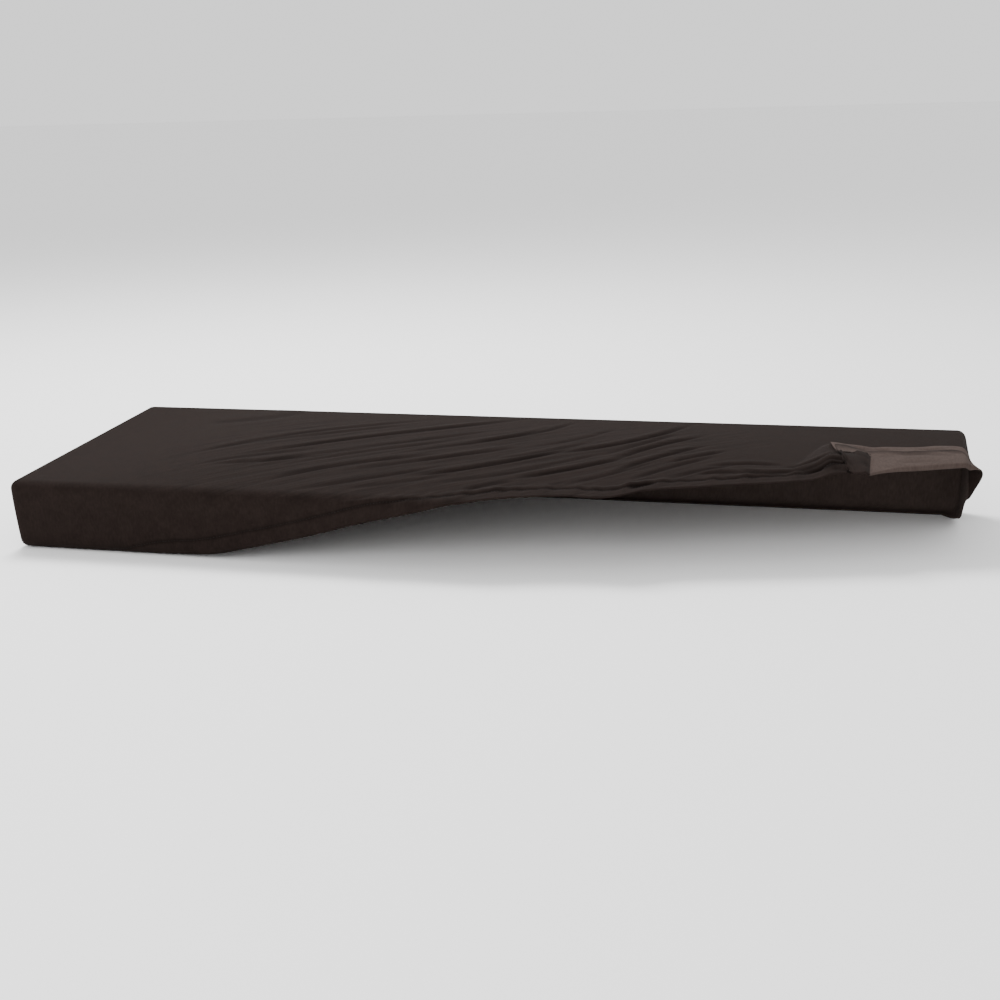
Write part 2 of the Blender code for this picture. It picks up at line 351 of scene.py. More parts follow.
def wall_steps():
    """Row distances down a full wall and under it, closer where the edges round over."""
    rounding = edge_steps()
    middle = np.linspace(EDGE_RADIUS, WALL - EDGE_RADIUS, BACK_ROWS - 2 * (len(rounding) - 1) + 1)
    band = np.linspace(WALL, WALL + HEM_BAND, BAND_ROWS + 1)
    return np.concatenate((rounding, middle[1:-1], WALL - rounding[::-1], band[1:]))


def top_steps(end):
    """Row distances over the top, from the back edge to end."""
    rounding = edge_steps()
    middle = np.linspace(EDGE_RADIUS, end - EDGE_RADIUS, TOP_ROWS - 2 * (len(rounding) - 1) + 1)
    return np.concatenate((rounding, middle[1:-1], end - rounding[::-1]))


def column_rows(x):
    """Signed distances of one column's rows, and the reach and turn that they are laid with."""
    reach = along(REACH, "reach", x)
    turned = float(ease((x - TURN_START) / TURN_RAMP))
    back = along(TURN, "back", x) if x > TURN_START else 0.0
    aside = along(TURN, "aside", x) if x > TURN_START else 0.0
    turn_length = math.pi * float(bend_radius(x))
    total = reach + turn_length * turned + math.hypot(back, aside)
    top_end = min(DEPTH, reach - (1 - turned) * (HEM_BAND + MIN_SKIRT))
    on_wall = 1 - ease((x - WALL_ROWS_END) / WALL_ROWS_FADE)
    share = on_wall * wall_steps()[:BACK_ROWS + 1] / WALL
    share = share + (1 - on_wall) * np.linspace(0, 1, BACK_ROWS + 1)
    skirt = top_end + (total - HEM_BAND - top_end) * share
    bend = reach + turn_length * np.linspace(0, 1, BEND_ROWS + 1)
    run = np.linspace(reach + turn_length, total - HEM_BAND, BACK_ROWS - BEND_ROWS + 1)
    skirt = (1 - turned) * skirt + turned * np.concatenate((bend, run[1:]))
    band = np.linspace(total - HEM_BAND, total, BAND_ROWS + 1)
    rows = np.concatenate((-wall_steps()[::-1], top_steps(top_end)[1:], skirt[1:], band[1:]))
    return rows, (reach, back, aside, total)


places = column_places()
columns = [column_rows(x) for x in places]
row_distances = np.array([rows for rows, _ in columns])
settings = np.array([setting for _, setting in columns])
print(len(places), "columns of", row_distances.shape[1], "rows")

# %% [markdown]
# ## The end walls
#
# The left wall hangs straight from the top edge and tucks under like the back. The right wall is the
# awkward one: behind, it hangs, and towards the front its hem swings out and up until it meets the
# cloth that is thrown back over the top. Mixing the hanging and the thrown-back positions, and pushing
# the middle of the mix outwards, gives the soft lump that stands out at that end.

# %% Shape the end walls
CURL_START = 0.024
CURL_RUN = 0.025
BULGE = 0.007
BULGE_PLACE = 0.010
BULGE_WIDTH = 0.036
FULL_WALL_START = 0.080
FULL_WALL_RUN = 0.080
LUMP_ROUNDNESS = 0.7


def left_wall(y, steps):
    """Points of the left end wall, for one line down from the top edge at y."""
    tucked = np.clip(steps - WALL, 0.0, HEM_BAND)
    height = FRONT_HEIGHT - np.minimum(steps, WALL)
    return fitted(tucked - HALF_LENGTH, y * (1 - tucked / HALF_DEPTH), height)


def right_wall(y, thrown_back):
    """Points of the right end wall, and the distances down it that they stand at."""
    full = ease((y - FULL_WALL_START) / FULL_WALL_RUN)
    share = full * wall_steps() / (WALL + HEM_BAND) + (1 - full) * np.linspace(0, 1, END_ROWS + 1)
    steps = along(DROP, "drop", y) * share
    tucked = np.clip(steps - WALL, 0.0, HEM_BAND)
    height = FRONT_HEIGHT - np.minimum(steps, WALL)
    hanging = fitted(HALF_LENGTH - tucked, y * (1 - tucked / HALF_DEPTH), height)
    curl = ease((CURL_START - y) / CURL_RUN)
    point = (1 - curl) * hanging + curl * thrown_back
    rounded = np.sin(np.linspace(0, math.pi, END_ROWS + 1)) ** LUMP_ROUNDNESS
    heap = BULGE * (1 - curl) * math.exp(-((y - BULGE_PLACE) / BULGE_WIDTH) ** 2)
    point[:, 0] += (LUMP * 4 * curl * (1 - curl) + heap) * rounded
    return point, steps


def lay_cloth():
    """Every point of the cloth's middle surface, what is known at it, and the faces between."""
    x = places[:, None]
    reach, back, aside, total = (settings[:, i][:, None] for i in range(4))
    grid = laid(x, row_distances, reach, back, aside)
    from_hem = np.where(row_distances < 0, WALL + HEM_BAND + row_distances, total - row_distances)
    points = [grid.reshape(-1, 3)]
    known = [np.stack(np.broadcast_arrays(x, row_distances, from_hem), -1).reshape(-1, 3)]
    faces = []
    loft = np.arange(grid.shape[0] * grid.shape[1]).reshape(grid.shape[:2])

    def add_patch(index, flip):
        a, b, c, d = index[:-1, :-1], index[1:, :-1], index[1:, 1:], index[:-1, 1:]
        order = (d, c, b, a) if flip else (a, b, c, d)
        faces.append(np.stack(order, -1).reshape(-1, 4))

    add_patch(loft, flip=True)
    top_last = END_ROWS + TOP_ROWS
    count = loft.size
    for end, flip in ((0, True), (len(places) - 1, False)):
        edge = grid[end]
        index = np.zeros((TOP_ROWS + 1, END_ROWS + 1), int)
        index[0] = loft[end, END_ROWS::-1]
        index[-1] = loft[end, top_last:]
        index[:, 0] = loft[end, END_ROWS:top_last + 1]
        for k in range(1, TOP_ROWS):
            y = edge[END_ROWS + k][1]
            if end == 0:
                steps = wall_steps()
                line = left_wall(y, steps)
            else:
                line, steps = right_wall(y, edge[top_last:])
            index[k, 1:] = np.arange(count, count + END_ROWS)
            count += END_ROWS
            points.append(line[1:])
            place = np.full(END_ROWS, -HALF_LENGTH - y)
            known.append(np.stack((place, -steps[1:], steps[-1] - steps[1:]), -1))
        add_patch(index, flip)
    return np.concatenate(points), np.concatenate(known), np.concatenate(faces), loft


points, known, faces, loft = lay_cloth()
points[:, 2] -= RISE
print(len(points), "points and", len(faces), "faces in the middle surface")

# %% [markdown]
# ## Creases placed one by one
#
# Stretch cloth that is pulled at one corner throws long tension creases. Each one here is a line with
# a small bow, a dark trough and a soft ridge on its far side, and all of them differ in length, depth
# and width. They are laid on the finished grid along its normals, so that they work on any slope.
# The trough's darkness is partly painted shade: how deep each point lies in a trough is kept and
# darkens the cloth's colour there.

# %% Press the tension creases
CREASES = table("x0 y0 x1 y1 bow depth width", [
    (-0.414, 0.078, -0.287, 0.158, -0.016, 0.0010, 0.0100),
    (-0.378, -0.075, -0.095, 0.138, 0.018, 0.0014, 0.0038),
    (-0.360, -0.055, -0.180, 0.070, 0.006, 0.0009, 0.0036),
    (-0.345, -0.100, -0.200, -0.020, 0.004, 0.0010, 0.0034),
    (-0.319, -0.074, 0.023, 0.160, 0.003, 0.0026, 0.0036),
    (-0.329, -0.095, -0.173, -0.039, -0.003, 0.0017, 0.0034),
    (-0.290, -0.100, -0.110, 0.005, 0.006, 0.0012, 0.0034),
    (-0.270, 0.005, -0.130, 0.100, 0.003, 0.0009, 0.0034),
    (-0.250, -0.150, -0.046, -0.024, 0.014, 0.0022, 0.0036),
    (-0.230, -0.085, -0.040, 0.035, 0.005, 0.0012, 0.0032),
    (-0.198, -0.161, -0.033, -0.066, -0.002, 0.0019, 0.0034),
    (-0.190, -0.030, -0.010, 0.090, -0.004, 0.0014, 0.0034),
    (-0.160, -0.100, 0.010, 0.000, -0.004, 0.0012, 0.0032),
    (-0.150, 0.035, 0.000, 0.135, 0.002, 0.0010, 0.0034),
    (-0.140, -0.150, -0.020, -0.095, -0.002, 0.0013, 0.0032),
    (-0.094, -0.063, 0.037, 0.019, -0.003, 0.0018, 0.0034),
    (-0.110, -0.030, 0.020, 0.070, -0.006, 0.0012, 0.0034),
    (-0.079, -0.110, 0.102, 0.023, -0.012, 0.0032, 0.0038),
    (-0.060, 0.000, 0.050, 0.120, -0.012, 0.0013, 0.0034),
    (-0.042, 0.022, 0.075, 0.149, -0.017, 0.0018, 0.0036),
    (-0.040, -0.125, 0.110, -0.035, -0.006, 0.0013, 0.0032),
    (-0.003, -0.141, 0.058, -0.104, 0.003, 0.0016, 0.0032),
    (0.000, -0.050, 0.120, 0.060, -0.008, 0.0012, 0.0034),
    (0.040, 0.010, 0.130, 0.120, -0.010, 0.0011, 0.0036),
    (0.072, -0.014, 0.216, 0.152, -0.018, 0.0030, 0.0038),
    (0.046, -0.102, 0.164, -0.010, -0.005, 0.0032, 0.0036),
    (0.030, -0.085, 0.140, 0.010, -0.006, 0.0013, 0.0032),
    (0.105, -0.115, 0.200, -0.020, -0.004, 0.0016, 0.0032),
    (0.120, -0.020, 0.205, 0.100, -0.004, 0.0013, 0.0034),
    (0.141, -0.036, 0.242, 0.097, 0.008, 0.0026, 0.0036),
    (0.150, -0.075, 0.248, 0.051, 0.005, 0.0025, 0.0034),
    (0.173, -0.095, 0.262, 0.005, 0.003, 0.0017, 0.0032),
    (0.205, -0.032, 0.272, 0.028, 0.002, 0.0020, 0.0032),
    (0.216, -0.085, 0.290, -0.025, 0.006, 0.0016, 0.0032),
    (0.284, -0.043, 0.353, -0.038, -0.008, 0.0020, 0.0032),
    (0.246, -0.041, 0.342, -0.026, 0.012, 0.0018, 0.0034),
])
CREASE_ENDS = 0.30
RIDGE_PLACE = 2.2
RIDGE_WIDTH = 1.9
FAR_RIDGE = 0.34
NEAR_RIDGE = 0.16
TOP_BLEND = 0.004


def crease_relief(x, y, rows):
    """How far the creases lift the cloth at each place, and how deep in a trough it lies, for painted
    shade.
    """
    relief = np.zeros_like(x)
    shade = np.zeros_like(x)
    for row in rows:
        run = np.array((row["x1"] - row["x0"], row["y1"] - row["y0"]))
        length = np.hypot(*run)
        run = run / length
        t = ((x - row["x0"]) * run[0] + (y - row["y0"]) * run[1]) / length
        aside = (y - row["y0"]) * run[0] - (x - row["x0"]) * run[1]
        aside = (aside - row["bow"] * np.sin(math.pi * np.clip(t, 0, 1))) / row["width"]
        ends = ease(t / CREASE_ENDS) * ease((1 - t) / CREASE_ENDS)
        trough = np.exp(-aside ** 2)
        far = FAR_RIDGE * np.exp(-((aside - RIDGE_PLACE) / RIDGE_WIDTH) ** 2)
        near = NEAR_RIDGE * np.exp(-((aside + RIDGE_PLACE) / RIDGE_WIDTH) ** 2)
        relief += row["depth"] * ends * (far + near - trough)
        shade += row["depth"] * ends * trough
    return relief, shade


on_top = ease((points[:, 2] + RISE - (FRONT_HEIGHT - TOP_BLEND)) / TOP_BLEND)
half_turn = math.pi / 2 * bend_radius(known[:, 0])
upper_layer = known[:, 1] > np.interp(known[:, 0], places, settings[:, 0]) + half_turn
lower_layer = ~upper_layer
relief, shade = crease_relief(points[:, 0], points[:, 1], CREASES)
relief = relief * on_top * lower_layer
shade = shade * on_top * lower_layer
print(len(CREASES), "creases, deepest", round(float(-relief.min()) * MILLIMETRES, 1), "mm")

# %% [markdown]
# ## The hem, its gathers and the heaped cloth
#
# Elastic draws the hem in. A stitched groove runs along the top of the band, the cloth puffs above it,
# and short puckers cross it at uneven distances. Beside the cloth that is thrown back lies a flat
# pleat with a steep right edge. It and the folds that run into it could be pressed along the normals
# too, but the cloth is double there, and a push that changes sign halfway round the tight bend tears
# it. So both layers are lifted straight up by the same height. This doesn't keep them wholly apart:
# at the steep left edge of the cloth that is thrown back, and in the lump at the end, they still meet.
# The groove and the troughs of the heaped and thrown-back creases are also darkened with painted shade.

# %% Draw in the hem and heap the cloth
GROOVE_DEPTH = 0.0011
GROOVE_WIDTH = 0.0022
PUFF_HEIGHT = 0.0016
PUFF_PLACE = HEM_BAND + 0.006
PUFF_WIDTH = 0.004
PUFF_MEAN = 0.55
PUFF_SWING = 0.45
PUFF_PITCH = 0.139
PUCKER_HEIGHT = 0.0009
PUCKER_PLACE = HEM_BAND + 0.002
PUCKER_WIDTH = 0.011
PUCKER_PITCHES = (0.0173, 0.0291, 0.0437)
GATHER_START = -0.470
GATHER_RUN = 0.120
UPPER_GATHER = 0.5

# Painted shade: the trough depth that counts as full shade, and how dark the hem's groove is painted.
FULL_SHADE = 0.0032
GROOVE_SHADE = 0.7

PLEAT_RIGHT = 0.4265
PLEAT_LEFT = 0.386
PLEAT_BACK_LEFT = -0.004
PLEAT_BACK_RIGHT = 0.027
PLEAT_HEIGHT = 0.0042
PLEAT_EDGE = 0.0045
PLEAT_BACK_EDGE = 0.004
PLEAT_START = 0.366
PLEAT_RUN = 0.024
HEAP_END = 0.386
HEAP_END_RUN = 0.012

HEAP_CREASES = table("x0 y0 x1 y1 bow depth width", [
    (0.325, -0.040, 0.470, 0.047, -0.005, 0.0024, 0.0034),
    (0.340, -0.046, 0.460, 0.020, 0.004, 0.0017, 0.0030),
    (0.320, -0.050, 0.465, -0.003, -0.004, 0.0021, 0.0032),
    (0.345, -0.053, 0.455, -0.026, 0.004, 0.0014, 0.0030),
    (0.240, -0.066, 0.300, -0.052, 0.005, 0.0022, 0.0034),
    (0.285, -0.050, 0.352, -0.046, -0.006, 0.0026, 0.0034),
    (0.345, -0.047, 0.412, -0.050, 0.004, 0.0020, 0.0032),
    (0.176, -0.116, 0.206, -0.094, 0.002, 0.0022, 0.0032),
])
THROWN_CREASES = table("x0 y0 x1 y1 bow depth width", [
    (0.386, 0.020, 0.440, 0.052, 0.004, 0.0008, 0.0045),
    (0.395, 0.050, 0.450, 0.036, -0.004, 0.0008, 0.0040),
    (0.430, 0.040, 0.452, 0.028, 0.002, 0.0012, 0.0032),
    (0.430, 0.010, 0.520, 0.026, 0.003, 0.0011, 0.0045),
    (0.450, -0.012, 0.505, 0.002, -0.003, 0.0009, 0.0045),
    (0.470, 0.040, 0.528, 0.030, 0.004, 0.0010, 0.0045),
])


def hem_relief(place, from_hem):
    """The stitched groove, the puff above it and the puckers that cross it."""
    groove = -GROOVE_DEPTH * np.exp(-((from_hem - HEM_BAND) / GROOVE_WIDTH) ** 2)
    puff = PUFF_HEIGHT * np.exp(-((from_hem - PUFF_PLACE) / PUFF_WIDTH) ** 2)
    waves = sum(np.sin(2 * math.pi * place / pitch + i) for i, pitch in enumerate(PUCKER_PITCHES))
    near = np.exp(-((from_hem - PUCKER_PLACE) / PUCKER_WIDTH) ** 2)
    uneven = PUFF_MEAN + PUFF_SWING * np.sin(2 * math.pi * place / PUFF_PITCH)
    return groove + puff * uneven + PUCKER_HEIGHT * waves / 2 * near


def pleat_distance(x, y):
    """How far inside the pleat each place lies, from its right edge and from its back line."""
    slope = (PLEAT_BACK_RIGHT - PLEAT_BACK_LEFT) / (PLEAT_RIGHT - PLEAT_LEFT)
    behind = PLEAT_BACK_LEFT + slope * (x - PLEAT_LEFT) - y
    return PLEAT_RIGHT - x, behind


flat_x, flat_y = points[:, 0], points[:, 1]
gathered = ease((known[:, 0] - GATHER_START) / GATHER_RUN) * (known[:, 1] > 0)
drawn_in = gathered * np.where(upper_layer, UPPER_GATHER, 1.0)
relief += hem_relief(known[:, 0], known[:, 2]) * drawn_in
heaped, heap_shade = crease_relief(flat_x, flat_y, HEAP_CREASES)
thrown, thrown_shade = crease_relief(flat_x, flat_y, THROWN_CREASES)
from_right, from_back = pleat_distance(flat_x, flat_y)
inside = ease(from_right / PLEAT_EDGE) * ease(from_back / PLEAT_BACK_EDGE)
inside = inside * ease((flat_x - PLEAT_START) / PLEAT_RUN) * on_top
pleat = np.minimum(from_right, from_back) * MILLIMETRES
heap_mask = on_top * (1 - ease((flat_x - HEAP_END) / HEAP_END_RUN) * (1 - inside))
points[:, 2] += PLEAT_HEIGHT * inside + heaped * heap_mask
relief -= thrown * upper_layer
# Painted shade for the troughs of the heaped and thrown-back creases and for the hem's stitched groove.
shade += heap_shade * heap_mask + thrown_shade * upper_layer
groove_shade = np.exp(-((known[:, 2] - HEM_BAND) / GROOVE_WIDTH) ** 2) * gathered
shade = np.clip(shade / FULL_SHADE + GROOVE_SHADE * groove_shade, 0.0, 1.0)
relief_range = [round(float(edge) * MILLIMETRES, 1) for edge in (relief.min(), relief.max())]
print("Relief runs from", relief_range[0], "to", relief_range[1], "mm")

# %% [markdown]
# ## Build the sheet
#
# The middle surface becomes a mesh, is moved along its own normals by the relief, and is thickened with
# a Solidify modifier whose inner side takes a second material. Three numbers travel with each point, so
# that the knit can follow the cloth: the place along it, the distance across it, and the distance from
# the hem. Two more say how deep in a crease or the hem's groove it lies, which is painted as shade, and
# how far inside the pleat's edge. The modifier is then turned into a plain mesh.

# %% Thicken the cloth into a sheet
def surface_normals(mesh, count):
    """The mesh's vertex normals as an array."""
    normals = np.zeros(count * 3, np.float32)
    mesh.vertex_normals.foreach_get("vector", normals)
    return normals.reshape(-1, 3)


def as_plain_mesh(source, name):
    """What the modifiers of source make, as a new object with no modifiers."""
    evaluated = source.evaluated_get(bpy.context.evaluated_depsgraph_get())
    mesh = bpy.data.meshes.new_from_object(evaluated)
    mesh.name = name
    plain = bpy.data.objects.new(name, mesh)
    bpy.context.scene.collection.objects.link(plain)
    bpy.data.objects.remove(source)
    return plain


def make_sheet():
    """The cover's cloth, thickened, with what is known at each point stored on it."""
    mesh = bpy.data.meshes.new("cloth_middle")
    mesh.from_pydata(points.tolist(), [], faces.tolist())
    normals = surface_normals(mesh, len(points))
    moved = points + normals * relief[:, None]
    mesh.vertices.foreach_set("co", moved.astype(np.float32).ravel())
    cloth = mesh.attributes.new("cloth", "FLOAT_VECTOR", "POINT")
    cloth.data.foreach_set("vector", known.astype(np.float32).ravel())
    for name, values in (("pleat", pleat), ("shade", shade)):
        layer = mesh.attributes.new(name, "FLOAT", "POINT")
        layer.data.foreach_set("value", values.astype(np.float32))
    mesh.shade_smooth()
    middle = bpy.data.objects.new("cloth_middle", mesh)
    bpy.context.scene.collection.objects.link(middle)
    thicken = middle.modifiers.new("Cloth thickness", "SOLIDIFY")
    thicken.thickness = CLOTH_THICKNESS
    thicken.offset = 0.0
    thicken.material_offset = 1
    for slot in ("right_side", "wrong_side"):
        mesh.materials.append(bpy.data.materials.new(slot))
    return as_plain_mesh(middle, "stretch_cloth"), moved, normals


cover, moved, normals = make_sheet()
print("The cloth has", len(cover.data.polygons), "faces")

# %% [markdown]
# ## Shader maths as Python
#
# A material is a graph, but its sums are easier to read as sums. Wire wraps a socket, so that
# expressions on it add Math nodes. Finish adds any other node by its type, its settings and what goes
# into its sockets.

# %% Write small helpers for materials
NOISE_ROUGHNESS = 0.55
MIX_FACTOR = 0
MIX_FIRST = 6
MIX_SECOND = 7
MIX_RESULT = 2


class Wire:
    """A number in a material: maths on it adds Math nodes."""

    def __init__(self, finish, socket):
        self.finish = finish
        self.socket = socket

    def maths(self, operation, *values):
        sockets = {i: value for i, value in enumerate(values)}
        node = self.finish.node("ShaderNodeMath", {"operation": operation}, sockets)
        return Wire(self.finish, node.outputs[0])

    def __add__(self, other):
        return self.maths("ADD", self, other)

    def __radd__(self, other):
        return self.maths("ADD", other, self)

    def __sub__(self, other):
        return self.maths("SUBTRACT", self, other)

    def __rsub__(self, other):
        return self.maths("SUBTRACT", other, self)

    def __mul__(self, other):
        return self.maths("MULTIPLY", self, other)

    def __rmul__(self, other):
        return self.maths("MULTIPLY", other, self)

    def sine(self):
        return self.maths("SINE", self)

    def smooth(self, low, high):
        """0 below low, 1 above high, and smooth between."""
        settings = {"interpolation_type": "SMOOTHSTEP"}
        sockets = {"Value": self, "From Min": low, "From Max": high, "To Min": 0.0, "To Max": 1.0}
        return Wire(self.finish, self.finish.node("ShaderNodeMapRange", settings, sockets).outputs[0])


class Finish:
    """The nodes of one material."""

    def __init__(self, material):
        material.use_nodes = True
        self.tree = material.node_tree
        self.tree.nodes.clear()

    def node(self, kind, settings=None, sockets=None):
        """Adds a node, sets it up, and then fills or links its sockets."""
        node = self.tree.nodes.new(kind)
        for name, value in (settings or {}).items():
            setattr(node, name, value)
        for key, value in (sockets or {}).items():
            if isinstance(value, Wire):
                value = value.socket
            if isinstance(value, bpy.types.NodeSocket):
                self.tree.links.new(value, node.inputs[key])
            else:
                node.inputs[key].default_value = value
        return node

    def noise(self, vector, scale, detail=2.0):
        """Soft noise from 0 to 1."""
        sockets = {"Vector": vector, "Scale": scale, "Detail": detail, "Roughness": NOISE_ROUGHNESS}
        return Wire(self, self.node("ShaderNodeTexNoise", None, sockets).outputs["Fac"])

    def blend(self, factor, first, second):
        """A colour between two colours."""
        settings = {"data_type": "RGBA"}
        sockets = {MIX_FACTOR: factor, MIX_FIRST: first, MIX_SECOND: second}
        return self.node("ShaderNodeMix", settings, sockets).outputs[MIX_RESULT]


print("Wire does sums on sockets, and Finish adds the other nodes")

# %% [markdown]
# ## The stretch cloth
#
# Swimwear-like knit is matt, with very fine upright ribs, a slight mottle, fine wrinkles where its
# tension varies, whose valleys are darkened with painted shade, and a soft sheen that lifts it where it
# is seen edge on. The crease troughs and the hem's groove are darkened with painted shade too. The
# right side is nearly black and warm. The wrong side, which shows where the cloth is thrown back, is
# paler and greyer, because the filler yarn lies there. The pleat shows the right side's colour again.
# An image could carry all this, but sums on the cloth's own numbers stay sharp at any distance and
# follow every fold.

# %% Knit the two sides of the cloth
RIB_PITCH = 0.0012
COURSE_PITCH = 0.0011
STRAIN_TURN = math.radians(-36)
STRAIN_STRETCH = 9.0
RIGHT_DARK = (0.0084, 0.0055, 0.0047, 1.0)
RIGHT_LIGHT = (0.0136, 0.0093, 0.0081, 1.0)
WRONG_DARK = (0.0400, 0.0290, 0.0255, 1.0)
WRONG_LIGHT = (0.0560, 0.0415, 0.0365, 1.0)
# Painted shade: the colour that crease troughs, the hem's groove and the wrinkle streaks are darkened
# towards.
PAINTED_SHADE_COLOR = (0.0030, 0.0018, 0.0015, 1.0)
SPECULAR = 0.03
SHEEN = 0.012
SHEEN_ROUGHNESS = 0.45
SHEEN_TINT = (1.0, 0.90, 0.86, 1.0)
ROUGHNESS = 0.80
ROUGHNESS_SWING = 0.12

MARL_STRETCH = (1.0, 0.35, 0.0)
MARL_SCALE = 420.0
MOTTLE_SCALE = 55.0
STRAIN_SCALE = 95.0
FLATTEN = 1000.0
MARL_SHARE = 0.55
RIB_SHARE = 0.6
RIB_WANDER = 0.6
TONE_RANGE = (0.30, 0.70)

STRAIN_LEFT = (-0.44, -0.26)
STRAIN_RIGHT = (0.20, 0.36)
STRAIN_BACK = (0.02, 0.10)
STRAIN_FRONT = (DEPTH - 0.01, DEPTH + 0.02)
FRONT_LOSS = 0.75
# Painted shade: how dark the streaks in the fine wrinkles' valleys are, and how dark the troughs are.
PAINTED_STREAK_RANGE = (0.30, 0.55)
PAINTED_STREAK_SHARE = 0.35
PAINTED_SHADE_SHARE = 0.8
WORN_EDGE = (0.0003, 0.0016)
WORN_SHARE = 0.4
PLEAT_LINE = (-0.5, 0.5)
PLEAT_SHARE = 0.95

KNIT_HEIGHT = 0.00005
MARL_HEIGHT = 0.00016
STRAIN_HEIGHT = 0.0014


def knit_cloth(material, dark, light, shows_pleat):
    """The finish of one side of the cloth."""
    finish = Finish(material)

    def carried(name):
        """A number that travels with each point of the cloth."""
        return Wire(finish, finish.node("ShaderNodeAttribute", {"attribute_name": name}).outputs["Fac"])

    cloth = finish.node("ShaderNodeAttribute", {"attribute_name": "cloth"}).outputs["Vector"]
    shade = carried("shade")
    parts = finish.node("ShaderNodeSeparateXYZ", None, {0: cloth})
    place, across, from_hem = (Wire(finish, parts.outputs[i]) for i in range(3))
    upright = finish.node("ShaderNodeMapping", None, {"Vector": cloth, "Scale": MARL_STRETCH})
    drawn = finish.node("ShaderNodeMapping", {"vector_type": "TEXTURE"}, {
        "Vector": cloth,
        "Rotation": (0.0, 0.0, STRAIN_TURN),
        "Scale": (STRAIN_STRETCH, 1.0, FLATTEN),
    })
    flat = finish.node("ShaderNodeMapping", None, {"Vector": cloth, "Scale": (1.0, 1.0, 0.0)})
    marl = finish.noise(upright.outputs[0], MARL_SCALE, 3.0)
    mottle = finish.noise(flat.outputs[0], MOTTLE_SCALE, 4.0)
    strain = finish.noise(drawn.outputs[0], STRAIN_SCALE, 3.0)
    creased = place.smooth(*STRAIN_LEFT) * (1.0 - place.smooth(*STRAIN_RIGHT))
    over_edge = across.smooth(*STRAIN_FRONT)
    strained = creased * across.smooth(*STRAIN_BACK) * (1.0 - over_edge * FRONT_LOSS)
    ribs = (place * (2 * math.pi / RIB_PITCH)).sine()
    courses = (across * (2 * math.pi / COURSE_PITCH) + ribs * RIB_WANDER).sine()
    knit = ribs * RIB_SHARE + courses * (1 - RIB_SHARE)
    tone = (marl * MARL_SHARE + mottle * (1 - MARL_SHARE)).smooth(*TONE_RANGE)
    worn = 1.0 - from_hem.smooth(*WORN_EDGE)
    color = finish.blend(tone, dark, light)
    color = finish.blend(worn * WORN_SHARE, color, light)
    if shows_pleat:
        in_pleat = carried("pleat").smooth(*PLEAT_LINE) * PLEAT_SHARE
        color = finish.blend(in_pleat, color, finish.blend(tone, RIGHT_DARK, RIGHT_LIGHT))
    # Painted shade: the creased part is darkened where the wrinkle noise is low, in the bumps' valleys,
    # and the troughs and the hem's groove follow the shade attribute.
    painted_streak_shade = (1.0 - strain.smooth(*PAINTED_STREAK_RANGE)) * strained * PAINTED_STREAK_SHARE
    color = finish.blend(painted_streak_shade + shade * (1.0 - painted_streak_shade) * PAINTED_SHADE_SHARE, color, PAINTED_SHADE_COLOR)
    height = knit * KNIT_HEIGHT + marl * MARL_HEIGHT + strain * strained * STRAIN_HEIGHT
    bump = finish.node("ShaderNodeBump", None, {"Strength": 1.0, "Distance": 1.0, "Height": height})
    shader = finish.node("ShaderNodeBsdfPrincipled", None, {
        "Base Color": color,
        "Roughness": ROUGHNESS + tone * ROUGHNESS_SWING,
        "Normal": bump.outputs[0],
        "Specular IOR Level": SPECULAR,
        "Sheen Weight": SHEEN,
        "Sheen Roughness": SHEEN_ROUGHNESS,
        "Sheen Tint": SHEEN_TINT,
    })
    finish.node("ShaderNodeOutputMaterial", None, {"Surface": shader.outputs[0]})


right_side, wrong_side = cover.data.materials
knit_cloth(right_side, RIGHT_DARK, RIGHT_LIGHT, shows_pleat=False)
knit_cloth(wrong_side, WRONG_DARK, WRONG_LIGHT, shows_pleat=True)
print("Materials:", right_side.name, "and", wrong_side.name)

# %% [markdown]
# ## The hem's stitches
#
# A line of thread closes the casing all round the hem. Stitches repeat along a path, which is what
# Geometry Nodes do well: the path is resampled at the stitch pitch, a small grain is placed at each
# point and turned along the path, and the instances are made real so that they export as a mesh.

# %% Sew the hem
STITCH_PITCH = 0.0036
STITCH_LENGTH = 0.0026
STITCH_WIDTH = 0.0006
STITCH_LIFT = 0.2
GRAIN_RADIUS = 0.5
THREAD_DARK = (0.004, 0.003, 0.003, 1.0)
THREAD_LIGHT = (0.011, 0.008, 0.007, 1.0)
THREAD_ROUGHNESS = 0.65
THREAD_ROUGHNESS_SWING = 0.15
THREAD_SPECULAR = 0.2
TWIST_SCALE = 2200.0


def hem_path():
    """Points along the top of the hem band, just above the cloth's right side."""
    row = loft.shape[1] - 1 - BAND_ROWS
    line = loft[:, row]
    lift = CLOTH_THICKNESS / 2 + STITCH_WIDTH * STITCH_LIFT
    return moved[line] + normals[line] * lift


